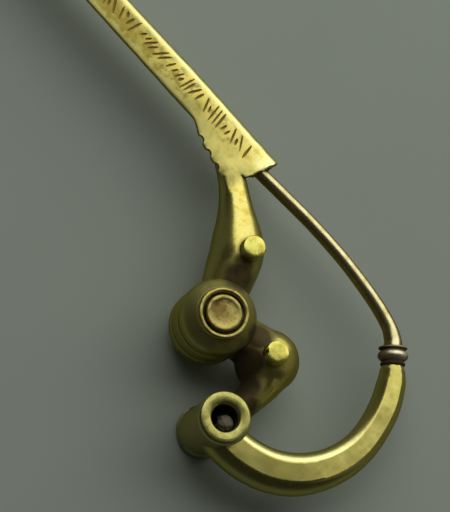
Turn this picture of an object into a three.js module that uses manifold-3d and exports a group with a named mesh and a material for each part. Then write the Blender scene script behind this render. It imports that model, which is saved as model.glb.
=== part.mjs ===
// Serpentine fibula (a gold dress pin) with cross pins and a long catch.
//
// The brooch lies on its side. X runs along the catch towards its tip, Y from the needle
// towards the crest of the bow, and Z along the cross pins. The origin is under the middle
// of the brooch, on the surface that carries the lower ends of its pins. Millimetres.

import * as THREE from 'three';
import { mergeVertices } from 'three/addons/utils/BufferGeometryUtils.js';
import Module from 'manifold-3d';

const wasm = await Module();
wasm.setup();

// ---------------------------------------------------------------- driving dimensions

const OVERALL_LENGTH = 107;
const OVERALL_WIDTH = 33.5;
const PIN_REACH = 5.7;              // from the middle plane to the end of every cross pin
const JOINT_GAP = 0.1;              // clearance between two pieces that are fitted together

// Places are taken from the spool's axis, in the middle plane of the brooch.
const ARM_REACH = 26;               // from the spool's axis to the back of the arm
const NEEDLE_SIDE_REACH = 21.1;     // from the spool's axis to the fold of the catch

const SPOOL = [0, 0.12];
const UPPER_BEND = [3.35, -8.58];
const LOWER_BEND = [-7.95, -1.5];
const TUBE = [-9.2, 9.05];

const CROSS_PIN_RADIUS = 1.48;

const BARREL_RADIUS = 4.8;
const BARREL_HALF_LENGTH = 3.25;
const SPOOL_RING_RADIUS = 3.3;

const TUBE_RADIUS = 3.1;
const TUBE_RIM_RADIUS = 3.3;
const TUBE_BORE_RADIUS = 1.75;

const NEEDLE_RADIUS = 0.86;

const CATCH_LINE_Y = -18.5;         // the middle of the catch plate's width at the bow
const CATCH_DRIFT = 0.35;           // how far that middle moves over beyond the bow's root
const CATCH_TIP_X = OVERALL_LENGTH - ARM_REACH;
const CATCH_WALL = 0.65;
const CATCH_FOLD_RADIUS = 1.6;      // outside of the rounded fold that holds the needle
const CATCH_START_SCALE = 1.05;     // width and height at the bow and at the tip, as shares
const CATCH_TIP_SCALE = 0.79;

const GOLD = { color: 0xcfae45, metalness: 1, roughness: 0.24 };
const WORN_GOLD = { color: 0xdcc25e, metalness: 1, roughness: 0.2 };
const BROWN_GOLD = { color: 0xb08a4a, metalness: 1, roughness: 0.3 };

// ---------------------------------------------------------------- solids

function toSolid(geometry) {
  const bare = geometry.index ? geometry.clone() : geometry;
  bare.deleteAttribute('normal');
  bare.deleteAttribute('uv');
  const merged = mergeVertices(bare, 1e-4);
  return new wasm.Manifold(new wasm.Mesh({
    numProp: 3,
    vertProperties: new Float32Array(merged.attributes.position.array),
    triVerts: new Uint32Array(merged.index.array),
  }));
}

function toMesh(name, solid, finish) {
  const { vertProperties, triVerts } = solid.getMesh();
  const geometry = new THREE.BufferGeometry();
  geometry.setAttribute('position', new THREE.BufferAttribute(new Float32Array(vertProperties), 3));
  geometry.setIndex(new THREE.BufferAttribute(new Uint32Array(triVerts), 1));
  geometry.computeVertexNormals();
  const mesh = new THREE.Mesh(geometry, new THREE.MeshStandardMaterial(finish));
  mesh.name = name;
  return mesh;
}

// A round bar that follows a level, curved line. Each station is [x, y, half width, half depth].
// flat is the share of the half depth at which the bar's top and bottom are planed off.
function barAlong(stations, { sides = 20, stepsPerStation = 3, flat = 1 } = {}) {
  const places = stations.map(([x, y]) => new THREE.Vector3(x, y, 0));
  const sizes = stations.map(([, , halfWidth, halfDepth]) => new THREE.Vector3(halfWidth, halfDepth, 0));
  const route = new THREE.CatmullRomCurve3(places, false, 'centripetal');
  const growth = new THREE.CatmullRomCurve3(sizes, false, 'catmullrom', 0.5);
  const steps = (stations.length - 1) * stepsPerStation;
  const bar = new THREE.CylinderGeometry(1, 1, 1, sides, steps);
  const position = bar.attributes.position;
  for (let i = 0; i < position.count; i++) {
    const along = position.getY(i) + 0.5;
    const centre = route.getPoint(along);
    const forward = route.getTangent(along);
    const size = growth.getPoint(along);
    const across = position.getX(i) * size.x;
    const up = THREE.MathUtils.clamp(position.getZ(i), -flat, flat) / flat * size.y;
    position.setXYZ(i, centre.x + forward.y * across, centre.y - forward.x * across, up);
  }
  return bar;
}

// A turned piece on an upright axis. profile holds [radius, height] from the bottom up.
function turned(profile, [x, y], segments = 32) {
  const points = profile.map(([radius, height]) => new THREE.Vector2(radius, height));
  const lathe = new THREE.LatheGeometry(points, segments);
  lathe.rotateX(Math.PI / 2);
  lathe.translate(x, y, 0);
  return lathe;
}

// The lower half of a turned profile is given; the upper half mirrors it.
function mirrored(lowerHalf) {
  return [...lowerHalf, ...lowerHalf.map(([radius, height]) => [radius, -height]).reverse()];
}

function roundPin(radius, halfLength, place, segments = 24) {
  const bevel = 0.12;
  return turned(mirrored([
    [0, -halfLength], [radius - bevel, -halfLength], [radius, -halfLength + bevel],
  ]), place, segments);
}

// ---------------------------------------------------------------- bow and catch

const UPPER_LIMB = [
  [18, -17, 0.7, 1.1],
  [15, -16.15, 1.15, 1.5],
  [12.6, -15.3, 1.6, 1.75],
  [10.9, -14.4, 1.82, 1.87],
  [9.8, -13.55, 1.93, 1.95],
  [7.8, -11.9, 2.4, 2.45],
  [5.8, -10.15, 3.1, 3.3],
  [4.15, -8.4, 3.4, 4.1],
  [3.05, -6.4, 3.3, 3.9],
  [2, -4.3, 3.05, 3.3],
  [0.6, -1.4, 2.8, 2.7],
];

const LOWER_LIMB = [
  [-0.8, -0.3, 2.7, 2.6],
  [-3.2, -1, 2.85, 2.9],
  [-5.4, -1.6, 3.05, 3.6],
  [-8, -1.7, 3.5, 4.1],
];

const TAIL_LIMB = [
  [-8.6, -1.6, 3.4, 3.9],
  [-9.6, 0.4, 2.7, 3.4],
  [-10, 2.7, 2, 2.85],
  [-9.8, 5.4, 1.85, 2.5],
  [-9.2, 9, 1.9, 2.3],
];

function lowerBendSwelling() {
  const radius = 4.05;
  const halfDepth = 4.35;
  const ball = new THREE.SphereGeometry(1, 24, 14);
  ball.rotateX(Math.PI / 2);
  ball.scale(radius, radius, halfDepth);
  ball.translate(LOWER_BEND[0] - 0.25, LOWER_BEND[1] - 0.15, 0);
  return ball;
}

// The barrel: a drum with a shallow turned groove near each edge and a shoulder that slopes
// in to the spool pin's ring.
function barrel() {
  const lip = 3.6;
  const lipHeight = 5.1;
  const grooveHeight = 1.5;
  const grooveHalfWidth = 0.3;
  const grooveDepth = 0.28;
  return turned(mirrored([
    [0, -lipHeight], [lip, -lipHeight], [4.05, -4.5], [4.5, -3.85],
    [BARREL_RADIUS, -BARREL_HALF_LENGTH],
    [BARREL_RADIUS, -grooveHeight - grooveHalfWidth],
    [BARREL_RADIUS - grooveDepth, -grooveHeight],
    [BARREL_RADIUS, -grooveHeight + grooveHalfWidth],
  ]), SPOOL, 28);
}

// How far the free edge of the catch plate swings out to meet the root of the bow. The swing
// starts in a shoulder, grows on a slope and ends where the edge sinks into the bow.
function rootFlare(x) {
  const { smoothstep } = THREE.MathUtils;
  const sunkX = 10.6;
  const widestX = 12.8;
  const shoulderX = 17.2;
  const flareStart = 20.5;
  const shoulderWidth = 1.25;
  const slope = 0.23;
  const shoulder = shoulderWidth * (1 - smoothstep(x, shoulderX, flareStart));
  return smoothstep(x, sunkX, widestX) * (shoulder + slope * Math.max(0, shoulderX - x));
}

// The bow end of the catch plate is cut on a slant, from the fold up to the bow's root.
function catchStart(y) {
  const foldCornerX = 9;
  const slant = 0.28;
  return foldCornerX + slant * (y + 2);
}

// The catch: a sheet whose needle side is folded round into a trough, a J in section, that
// narrows towards its tip.
function catchPlate() {
  const freeEdge = 2.85;
  const foldY = CATCH_FOLD_RADIUS - 2.15;
  const inner = CATCH_FOLD_RADIUS - CATCH_WALL;
  const lipEdge = 0.9;
  const flareFrom = 0.6;
  const driftLength = 12;

  const section = new THREE.Shape();
  section.moveTo(freeEdge, inner);
  section.lineTo(freeEdge, CATCH_FOLD_RADIUS);
  section.lineTo(flareFrom, CATCH_FOLD_RADIUS);
  section.lineTo(foldY, CATCH_FOLD_RADIUS);
  section.absarc(foldY, 0, CATCH_FOLD_RADIUS, Math.PI / 2, Math.PI * 1.5, false);
  section.lineTo(lipEdge, -CATCH_FOLD_RADIUS);
  section.lineTo(lipEdge, -inner);
  section.lineTo(foldY, -inner);
  section.absarc(foldY, 0, inner, Math.PI * 1.5, Math.PI / 2, true);
  section.lineTo(flareFrom, inner);

  const sheet = new THREE.ExtrudeGeometry(section, {
    depth: 1, steps: 24, curveSegments: 7, bevelEnabled: false,
  });
  const position = sheet.attributes.position;
  for (let i = 0; i < position.count; i++) {
    const y = position.getX(i);
    const z = position.getY(i);
    const along = position.getZ(i) ** 2;      // closer steps near the bow's root
    const tipX = CATCH_TIP_X - 0.5 * y * y / (freeEdge * freeEdge);
    const x = THREE.MathUtils.lerp(catchStart(y), tipX, along);
    const scale = THREE.MathUtils.lerp(CATCH_START_SCALE, CATCH_TIP_SCALE, along);
    const drift = CATCH_DRIFT * THREE.MathUtils.clamp((x - catchStart(y)) / driftLength, 0, 1);
    const flare = rootFlare(x) * Math.max(0, y - flareFrom) / (freeEdge - flareFrom);
    position.setXYZ(i, x, CATCH_LINE_Y - drift + y * scale + flare, z * scale);
  }
  return sheet;
}

// Three small scallops bite the free edge of the catch where it swings out to the bow.
function rootScallops() {
  const places = [[17.85, -14.45], [15.95, -13.9], [14.05, -13.45]];
  return places.map((place) => toSolid(roundPin(0.7, PIN_REACH, place, 16)));
}

const NEEDLE_ROUTE = [
  [-17.95, -15.45, 1.2, 1.2],
  [-17.48, -15.96, 1.12, 1.12],
  [-15.7, -16.95, 0.98, 0.98],
  [-12, -17.85, 0.92, 0.92],
  [-6, -18.52, 0.88, 0.88],
  [0, -18.67, NEEDLE_RADIUS, NEEDLE_RADIUS],
  [6, -18.42, NEEDLE_RADIUS, NEEDLE_RADIUS],
  [12, -18.15, 0.82, 0.82],
  [28, -18.25, 0.72, 0.72],
  [50, -18.5, 0.5, 0.5],
  [66, -18.6, 0.22, 0.22],
  [72, -18.6, 0.03, 0.03],
];

function needleClearance() {
  const widened = NEEDLE_ROUTE.map(([x, y, halfWidth, halfDepth]) => (
    [x, y, halfWidth + JOINT_GAP, halfDepth + JOINT_GAP]));
  return toSolid(barAlong(widened, { sides: 12, stepsPerStation: 2 }));
}

function bowWithCatch() {
  let bow = toSolid(catchPlate());
  for (const limb of [UPPER_LIMB, LOWER_LIMB, TAIL_LIMB]) {
    bow = bow.add(toSolid(barAlong(limb, { sides: 20, stepsPerStation: 2 })));
  }
  bow = bow.add(toSolid(lowerBendSwelling())).add(toSolid(barrel()));
  for (const bend of [UPPER_BEND, LOWER_BEND]) {
    bow = bow.subtract(toSolid(roundPin(CROSS_PIN_RADIUS + JOINT_GAP, 2 * PIN_REACH, bend)));
  }
  bow = bow.subtract(toSolid(roundPin(SPOOL_RING_RADIUS + JOINT_GAP, 2 * PIN_REACH, SPOOL, 28)));
  bow = bow.subtract(toSolid(roundPin(TUBE_RIM_RADIUS + JOINT_GAP, 2 * PIN_REACH, TUBE, 32)));
  bow = bow.subtract(needleClearance());
  for (const scallop of rootScallops()) {
    bow = bow.subtract(scallop);
  }
  return bow;
}

// ---------------------------------------------------------------- cross pins, spool and tube

function spoolPin() {
  const bossRadius = 2.15;
  const grooveRadius = 2.7;
  const grooveFloor = PIN_REACH - 0.55;
  const bevel = 0.12;
  return turned(mirrored([
    [0, -PIN_REACH], [bossRadius - 0.2, -PIN_REACH], [bossRadius, -PIN_REACH + 0.2],
    [bossRadius, -grooveFloor], [grooveRadius, -grooveFloor],
    [grooveRadius, -PIN_REACH + bevel], [grooveRadius + bevel, -PIN_REACH],
    [SPOOL_RING_RADIUS - bevel, -PIN_REACH], [SPOOL_RING_RADIUS, -PIN_REACH + bevel],
  ]), SPOOL, 28);
}

function crossTube() {
  const bevel = 0.15;
  const rimHeight = 0.7;
  const profile = mirrored([
    [TUBE_BORE_RADIUS, -PIN_REACH + bevel], [TUBE_BORE_RADIUS + bevel, -PIN_REACH],
    [TUBE_RIM_RADIUS - bevel, -PIN_REACH], [TUBE_RIM_RADIUS, -PIN_REACH + bevel],
    [TUBE_RIM_RADIUS, -PIN_REACH + rimHeight], [TUBE_RADIUS, -PIN_REACH + rimHeight + bevel],
  ]);
  return turned([...profile, profile[0]], TUBE, 32);
}

// ---------------------------------------------------------------- arm, collar and needle

const ARM_ROUTE = [
  [-20.02, -13.2, 1.6, 1.6],
  [-21.05, -11.9, 1.85, 1.8],
  [-22.5, -9.2, 2, 1.95],
  [-23.45, -6.1, 2.05, 2],
  [-23.85, -2.8, 2.15, 2.1],
  [-23.4, 0.4, 2.33, 2.2],
  [-22.2, 3.35, 2.52, 2.35],
  [-20.35, 5.85, 2.7, 2.45],
  [-17.8, 7.8, 2.75, 2.5],
  [-15, 8.9, 2.75, 2.5],
  [-12.2, 9.35, 2.7, 2.5],
  [-9.2, 9.3, 2.65, 2.5],
];

function pinArm() {
  const arm = toSolid(barAlong(ARM_ROUTE, { sides: 24, stepsPerStation: 2, flat: 0.9 }));
  return arm.subtract(toSolid(roundPin(TUBE_RIM_RADIUS + JOINT_GAP, 2 * PIN_REACH, TUBE, 32)));
}

// A flange, a fat bead and a narrow ring, turned in one, between the needle and the arm.
function collar() {
  const needleEnd = new THREE.Vector3(NEEDLE_ROUTE[0][0], NEEDLE_ROUTE[0][1], 0);
  const armEnd = new THREE.Vector3(ARM_ROUTE[0][0], ARM_ROUTE[0][1], 0);
  const axis = armEnd.clone().sub(needleEnd);
  const length = axis.length() - 2 * JOINT_GAP;
  const profile = [
    [0, 0], [1.6, 0], [1.85, 0.1], [1.85, 0.38], [1.55, 0.55],
    [1.75, 0.75], [1.9, 1.05], [1.9, 1.25], [1.75, 1.55], [1.45, 1.78],
    [1.45, 1.9], [1.6, 2.02], [1.6, 2.3], [1.5, length], [0, length],
  ];
  const lathe = new THREE.LatheGeometry(profile.map(([r, h]) => new THREE.Vector2(r, h)), 22);
  const turn = new THREE.Quaternion().setFromUnitVectors(
    new THREE.Vector3(0, 1, 0), axis.clone().normalize());
  lathe.applyQuaternion(turn);
  lathe.translate(...needleEnd.addScaledVector(axis.normalize(), JOINT_GAP).toArray());
  return toSolid(lathe);
}

function needle() {
  return toSolid(barAlong(NEEDLE_ROUTE, { sides: 12 }));
}

// ---------------------------------------------------------------- assembly

const fibula = new THREE.Group();
fibula.name = 'serpentine_fibula';

fibula.add(
  toMesh('bow_with_catch', bowWithCatch(), GOLD),
  toMesh('upper_cross_pin', toSolid(roundPin(CROSS_PIN_RADIUS, PIN_REACH, UPPER_BEND)), WORN_GOLD),
  toMesh('lower_cross_pin', toSolid(roundPin(CROSS_PIN_RADIUS, PIN_REACH, LOWER_BEND)), WORN_GOLD),
  toMesh('spool_pin', toSolid(spoolPin()), GOLD),
  toMesh('cross_tube', toSolid(crossTube()), WORN_GOLD),
  toMesh('pin_arm', pinArm(), GOLD),
  toMesh('collar', collar(), BROWN_GOLD),
  toMesh('needle', needle(), BROWN_GOLD),
);

fibula.position.set(
  ARM_REACH - OVERALL_LENGTH / 2,
  NEEDLE_SIDE_REACH - OVERALL_WIDTH / 2,
  PIN_REACH,
);

export default fibula;
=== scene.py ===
"""A gold serpentine fibula, worn and soiled, lying on its side under soft studio light."""

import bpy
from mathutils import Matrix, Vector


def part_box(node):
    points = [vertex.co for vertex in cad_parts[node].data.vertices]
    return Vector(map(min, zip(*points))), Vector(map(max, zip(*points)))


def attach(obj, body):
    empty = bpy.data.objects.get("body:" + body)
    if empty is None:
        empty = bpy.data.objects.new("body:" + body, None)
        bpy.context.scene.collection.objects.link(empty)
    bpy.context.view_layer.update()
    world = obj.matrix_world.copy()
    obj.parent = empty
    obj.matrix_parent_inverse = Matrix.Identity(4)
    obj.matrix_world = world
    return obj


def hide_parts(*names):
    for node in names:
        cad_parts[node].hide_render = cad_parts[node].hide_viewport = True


bl_info = {
    "name": "Serpentine Fibula",
    "version": (1, 0, 0),
    "blender": (4, 5, 0),
    "location": "3D View > Sidebar > Fibula",
    "description": "Models a gold serpentine dress pin piece by piece around its packed frame",
    "category": "Add Mesh",
}

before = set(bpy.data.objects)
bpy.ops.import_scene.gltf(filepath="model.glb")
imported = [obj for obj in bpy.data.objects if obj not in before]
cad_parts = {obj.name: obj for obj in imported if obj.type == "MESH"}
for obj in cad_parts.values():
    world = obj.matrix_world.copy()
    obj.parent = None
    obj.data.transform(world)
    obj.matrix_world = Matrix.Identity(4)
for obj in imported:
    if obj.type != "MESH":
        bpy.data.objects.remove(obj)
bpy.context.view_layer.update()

import math
import random

import bmesh
import bpy
from bpy.props import FloatProperty, FloatVectorProperty, IntProperty, PointerProperty
from mathutils import Matrix, Vector
from mathutils.geometry import interpolate_bezier

BODY = "root"
MM = 0.001
MERGE = 0.002 * MM

# The bow's own measures start near the spool's axis, in the middle plane of the brooch. They are
# in millimetres, and at() gives their place in the frame.
SPOOL_LOW, SPOOL_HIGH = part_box("spool_pin")
SPOOL_CENTRE = (SPOOL_LOW + SPOOL_HIGH) / 2
SPOOL_OFFSET = 0.12
START = SPOOL_CENTRE - Vector((0, SPOOL_OFFSET * MM, 0))
PIN_REACH = (SPOOL_HIGH.z - SPOOL_LOW.z) / 2 / MM

SPOOL = (0, SPOOL_OFFSET)
LOWER_BEND = (-8.2, -1.65)
ARM_MIDDLE = (-11.5, -3.5)

# Stations of a bar: x, y, half width, half depth.
UPPER_LIMB = (
    (18, -17, 0.7, 1.1), (15, -16.15, 1.15, 1.5), (12.6, -15.3, 1.6, 1.75),
    (10.9, -14.4, 1.82, 1.87), (9.8, -13.55, 1.93, 1.95), (7.8, -11.9, 2.4, 2.45),
    (5.8, -10.15, 3.1, 3.3), (4.15, -8.4, 3.4, 4.1), (3.05, -6.4, 3.3, 3.9),
    (2, -4.3, 3.05, 3.3), (0.6, -1.4, 2.8, 2.7),
)
LOWER_LIMB = (
    (-0.8, -0.3, 2.7, 2.6), (-3.2, -1, 2.85, 2.9), (-5.4, -1.6, 3.05, 3.6), (-8, -1.7, 3.5, 4.1),
)
TAIL_LIMB = (
    (-8.6, -1.6, 3.4, 3.9), (-9.6, 0.4, 2.7, 3.4), (-10, 2.7, 2, 2.85),
    (-9.8, 5.4, 1.85, 2.5), (-9.2, 9, 1.9, 2.3),
)
ROOT_TONGUE = (
    (15.6, -16.1, 1.0, 0.28), (14.3, -15.5, 1.15, 0.35), (12.74, -15.04, 1.25, 0.44),
    (11.13, -14.08, 1.3, 0.48), (9.99, -13.32, 1.2, 0.52), (8.8, -12.53, 0.95, 0.5),
    (7.7, -11.8, 0.5, 0.35),
)
TONGUE_HEIGHT = 1.3
ARM_ROUTE = (
    (-19.65, -13.65, 1.4, 1.4), (-20.02, -13.2, 1.6, 1.6), (-21.05, -11.9, 1.85, 1.8),
    (-22.5, -9.2, 2, 1.95), (-23.45, -6.1, 2.05, 2), (-23.85, -2.8, 2.15, 2.1),
    (-23.4, 0.4, 2.33, 2.2), (-22.2, 3.35, 2.52, 2.35), (-20.35, 5.85, 2.7, 2.45),
    (-17.8, 7.8, 2.75, 2.5), (-15, 8.9, 2.75, 2.5), (-12.2, 9.35, 2.7, 2.5),
    (-9.2, 9.3, 2.65, 2.5),
)
NEEDLE_ROUTE = (
    (-17.95, -15.45, 1.2, 1.2), (-17.48, -15.96, 1.12, 1.12), (-15.7, -16.95, 0.98, 0.98),
    (-12, -17.85, 0.92, 0.92), (-6, -18.52, 0.88, 0.88), (0, -18.67, 0.86, 0.86),
    (6, -18.42, 0.86, 0.86), (12, -18.15, 0.82, 0.82), (28, -18.25, 0.72, 0.72),
    (50, -18.5, 0.5, 0.5), (66, -18.6, 0.22, 0.22), (72, -18.6, 0.03, 0.03),
)

# The arm's top and bottom are planed at these shares of its half depth, ring by ring. The last
# share holds for the rest of the arm, so each flat starts with a round end.
ARM_PLANING = (
    0.965, 0.955, 0.948, 0.942, 0.937, 0.933, 0.93, 0.927, 0.922, 0.916, 0.909, 0.902, 0.896,
    0.89, 0.885,
)
PLANED_RELIEF = 0.18

# Where soil lies thick on the bow, darkened also as painted shade where its parts meet: x, y,
# radius and strength.
SOIL_AND_SHADE_PATCHES = (
    (-5.1, -1.9, 2.6, 1.0), (-6.4, 1.2, 3.0, 1.0), (-8.4, 3.4, 2.9, 1.0), (-9.8, 5.2, 2.9, 1.0),
    (1.9, -5.2, 3.0, 0.95), (2.6, -6.6, 2.1, 0.9), (3.31, -8.55, 2.15, 0.9),
    (-7.81, -1.39, 2.2, 0.9), (0, 0.12, 5.4, 0.5),
)
FULL_PATCH_SHARE = 0.45


def at(x, y, z=0.0):
    """A place given in the bow's own millimetres, as a place in the frame in metres."""
    return START + Vector((x, y, z)) * MM


def level(heading):
    """A level direction at an angle from X."""
    return Vector((math.cos(heading), math.sin(heading), 0))


def smoothstep(value, low, high):
    t = min(max((value - low) / (high - low), 0), 1)
    return t * t * (3 - 2 * t)


# ---------------------------------------------------------------- modelling by hand

def leave_edit_mode():
    if bpy.context.object and bpy.context.object.mode != "OBJECT":
        bpy.ops.object.mode_set(mode="OBJECT")


def deselect():
    leave_edit_mode()
    bpy.ops.object.select_all(action="DESELECT")


def make_active(piece):
    deselect()
    piece.select_set(True)
    bpy.context.view_layer.objects.active = piece


def apply_place(piece):
    """Moves a piece's place, turn and scale into its mesh."""
    make_active(piece)
    bpy.ops.object.transform_apply(location=True, rotation=True, scale=True)
    return piece


def edit(piece):
    make_active(piece)
    bpy.ops.object.mode_set(mode="EDIT")


def pick(piece, test):
    """Selects, in edit mode, the vertices whose place passes the test."""
    bpy.ops.mesh.select_mode(type="VERT")
    bpy.ops.mesh.select_all(action="DESELECT")
    mesh = bmesh.from_edit_mesh(piece.data)
    for vert in mesh.verts:
        vert.select = test(vert.co)
    mesh.select_flush_mode()
    bmesh.update_edit_mesh(piece.data)


def apply_modifier(piece, kind, **settings):
    make_active(piece)
    modifier = piece.modifiers.new(kind.title(), kind)
    for name, value in settings.items():
        setattr(modifier, name, value)
    bpy.ops.object.modifier_apply(modifier=modifier.name)


def clean(piece):
    edit(piece)
    bpy.ops.mesh.select_all(action="SELECT")
    bpy.ops.mesh.remove_doubles(threshold=MERGE)
    bpy.ops.mesh.normals_make_consistent(inside=False)
    leave_edit_mode()


def settle(piece, name, smooth_angle):
    """Names the finished piece, and puts its object at the origin with its place in its mesh."""
    apply_place(piece)
    piece.name = name
    piece.data.name = name
    bpy.ops.object.shade_smooth_by_angle(angle=math.radians(smooth_angle))


def smooth_stretch(points, steps, along_route):
    """Points from the second to the third of four, on a curve that also heeds the outer two."""
    before, here, there, after = points
    if along_route:
        reach = (there - here).length
        lead = (there - before).normalized() * reach / 3
        trail = (after - here).normalized() * reach / 3
    else:
        lead = (there - before) / 6
        trail = (after - here) / 6
    return interpolate_bezier(here, here + lead, there - trail, there, steps + 1)


def smooth_stations(stations, steps):
    """More stations between the given ones, on smooth curves through them."""
    places = [Vector((x, y, 0)) for x, y, width, depth in stations]
    girths = [Vector((width, depth, 0)) for x, y, width, depth in stations]
    end = len(stations) - 1
    result = []
    for i in range(end):
        four = (max(i - 1, 0), i, i + 1, min(i + 2, end))
        route = smooth_stretch([places[j] for j in four], steps, True)
        swell = smooth_stretch([girths[j] for j in four], steps, False)
        count = steps + 1 if i == end - 1 else steps
        for place, girth in list(zip(route, swell))[:count]:
            result.append((place.x, place.y, girth.x, girth.y))
    return result


def start_disc(radius, place, sides, heading=None, hollow=False):
    """A disc or a bare ring in edit mode, lying flat or facing a level heading."""
    deselect()
    bpy.ops.mesh.primitive_circle_add(
        vertices=sides, radius=radius * MM, fill_type="NOTHING" if hollow else "NGON",
        location=place,
        rotation=(0, 0, 0) if heading is None else (math.pi / 2, 0, heading + math.pi / 2))
    disc = apply_place(bpy.context.object)
    edit(disc)
    return disc


def next_ring(centre, new_centre, turn, width_ratio, depth_ratio):
    """Draws the selected ring out to a new place, turns it about an upright line, resizes it."""
    bpy.ops.mesh.extrude_region_move(TRANSFORM_OT_translate={"value": new_centre - centre})
    if abs(turn) > 1e-6:
        bpy.ops.transform.rotate(value=-turn, orient_axis="Z", center_override=new_centre)
    bpy.ops.transform.resize(
        value=(width_ratio, width_ratio, depth_ratio), center_override=new_centre)


def draw_bar(stations, sides, steps, planing=()):
    """A closed bar. A disc is drawn out from station to station along a level route."""
    rows = smooth_stations(stations, steps)
    centres = [at(x, y) for x, y, width, depth in rows]
    headings = []
    for i in range(len(rows)):
        ahead = centres[min(i + 1, len(rows) - 1)] - centres[max(i - 1, 0)]
        headings.append(math.atan2(ahead.y, ahead.x))
    width, depth = rows[0][2:]
    bar = start_disc(width, centres[0], sides, headings[0])
    bpy.ops.transform.resize(value=(1, 1, depth / width), center_override=centres[0])
    for i in range(1, len(rows)):
        new_width, new_depth = rows[i][2:]
        turn = headings[i] - headings[i - 1]
        turn = (turn + math.pi) % (2 * math.pi) - math.pi
        next_ring(centres[i - 1], centres[i], turn, new_width / width, new_depth / depth)
        width, depth = new_width, new_depth
        if planing:
            share = planing[min(i, len(planing)) - 1]
            plane_off(bar, centres[i], share * depth * MM)
    leave_edit_mode()
    return bar


def plane_off(bar, centre, height):
    """Presses the top and bottom of the selected ring nearly flat at the given height."""
    mesh = bmesh.from_edit_mesh(bar.data)
    ring = [vert for vert in mesh.verts if vert.select]
    for side in (1, -1):
        above = [vert for vert in ring if (vert.co.z - centre.z) * side > height]
        if not above:
            continue
        select_only(bar, mesh, above)
        bpy.ops.transform.resize(
            value=(1, 1, PLANED_RELIEF), center_override=centre + Vector((0, 0, height * side)))
    select_only(bar, mesh, ring)


def select_only(piece, mesh, verts):
    bpy.ops.mesh.select_all(action="DESELECT")
    for vert in verts:
        vert.select = True
    mesh.select_flush_mode()
    bmesh.update_edit_mesh(piece.data)


def turn_piece(profile, place, sides=64, heading=None, hollow=False):
    """A turned piece, upright or along a level heading. profile holds radius and height."""
    axis = Vector((0, 0, 1)) if heading is None else level(heading)
    radius, height = profile[0]
    centre = place + axis * height * MM
    piece = start_disc(radius, centre, sides, heading, hollow)
    for new_radius, new_height in profile[1:]:
        new_centre = place + axis * new_height * MM
        next_ring(centre, new_centre, 0, new_radius / radius, new_radius / radius)
        centre, radius = new_centre, new_radius
    leave_edit_mode()
    return piece


def round_cutter(place, radius, reach, sides):
    """An upright cylinder that reaches as far above a place as below it."""
    return turn_piece([(radius, -reach), (radius, reach)], place, sides)


def round_corner(corner, radius, toward, away, steps=3):
    """Points of a small round between two straight stretches of a profile."""
    corner = Vector(corner)
    first = corner + (Vector(toward) - corner).normalized() * radius
    last = corner + (Vector(away) - corner).normalized() * radius
    points = []
    for i in range(steps + 1):
        t = i / steps
        point = first * (1 - t) ** 2 + corner * 2 * t * (1 - t) + last * t * t
        points.append((point.x, point.y))
    return points


def eased(profile, radius):
    """The same profile with each of its inner corners rounded."""
    points = [profile[0]]
    for i in range(1, len(profile) - 1):
        reach = min(radius, 0.45 * (Vector(profile[i]) - Vector(profile[i - 1])).length,
                    0.45 * (Vector(profile[i + 1]) - Vector(profile[i])).length)
        points.extend(round_corner(profile[i], reach, profile[i - 1], profile[i + 1]))
    points.append(profile[-1])
    return points


def mirrored(lower_half):
    return list(lower_half) + [(radius, -height) for radius, height in reversed(lower_half)]


def from_end(reach, points):
    """A lower half profile from points that give radius and distance from the lower end."""
    return [(radius, distance - reach) for radius, distance in points]


def dent(piece, size, strength):
    """The slow swells and dents of metal that was hammered and worn by hand."""
    texture = bpy.data.textures.new(piece.name + "_dents", "CLOUDS")
    texture.noise_scale = size * MM
    texture.noise_depth = 1
    apply_modifier(
        piece, "DISPLACE", texture=texture, texture_coords="LOCAL", strength=strength * MM,
        mid_level=0.5)


def cut(piece, tool, operation="DIFFERENCE"):
    apply_modifier(piece, "BOOLEAN", operation=operation, solver="EXACT", object=tool)
    bpy.data.objects.remove(tool)


def join(pieces):
    make_active(pieces[0])
    for piece in pieces:
        piece.select_set(True)
    bpy.ops.object.join()
    return bpy.context.object


# ---------------------------------------------------------------- marks and finishes of a piece

def mark(piece, name, value_of):
    """Stores a value from 0 to 1 at each vertex, for the materials to read."""
    layer = piece.data.attributes.new(name, "FLOAT", "POINT")
    for vert in piece.data.vertices:
        layer.data[vert.index].value = value_of(vert)


def mark_rubbed_and_lit(piece, low, high):
    """Faces lying outward on the brooch's two sides are marked rubbed bright; steep flanks stay
    dull as painted shade.
    """
    mark(piece, "rubbed_and_lit", lambda vert: smoothstep(abs(vert.normal.z), low, high))


def mark_soiled_and_shaded(piece, patches):
    """Soil and painted shade in patches; each has its x and y in the bow's measures, its radius
    and strength.
    """
    def soil_and_shade_at(vert):
        spot = (vert.co - START).xy / MM
        most = 0.0
        for x, y, radius, strength in patches:
            distance = (spot - Vector((x, y))).length
            fading = smoothstep(distance, radius * FULL_PATCH_SHARE, radius)
            most = max(most, strength * (1 - fading))
        return most
    mark(piece, "soiled_and_shaded", soil_and_shade_at)


def coat(piece, *materials):
    """Gives a piece its finishes in order. The first covers it all at the start."""
    for material in materials:
        piece.data.materials.append(material)


def use_finish(piece, index):
    """Covers a piece with one of its finishes."""
    for face in piece.data.polygons:
        face.material_index = index


def hand_over(piece, slot, *nodes):
    """Gives a finished piece its body and hides the solids it stands for; slot is not used."""
    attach(piece, BODY)
    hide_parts(*nodes)


# ---------------------------------------------------------------- shared shader effects

def feed(tree, socket, value):
    """Links a socket to another, or sets it to a number or a colour."""
    if isinstance(value, bpy.types.NodeSocket):
        tree.links.new(value, socket)
    else:
        socket.default_value = value


def maths(tree, operation, *values):
    node = tree.nodes.new("ShaderNodeMath")
    node.operation = operation
    for socket, value in zip(node.inputs, values):
        feed(tree, socket, value)
    return node.outputs[0]


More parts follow.
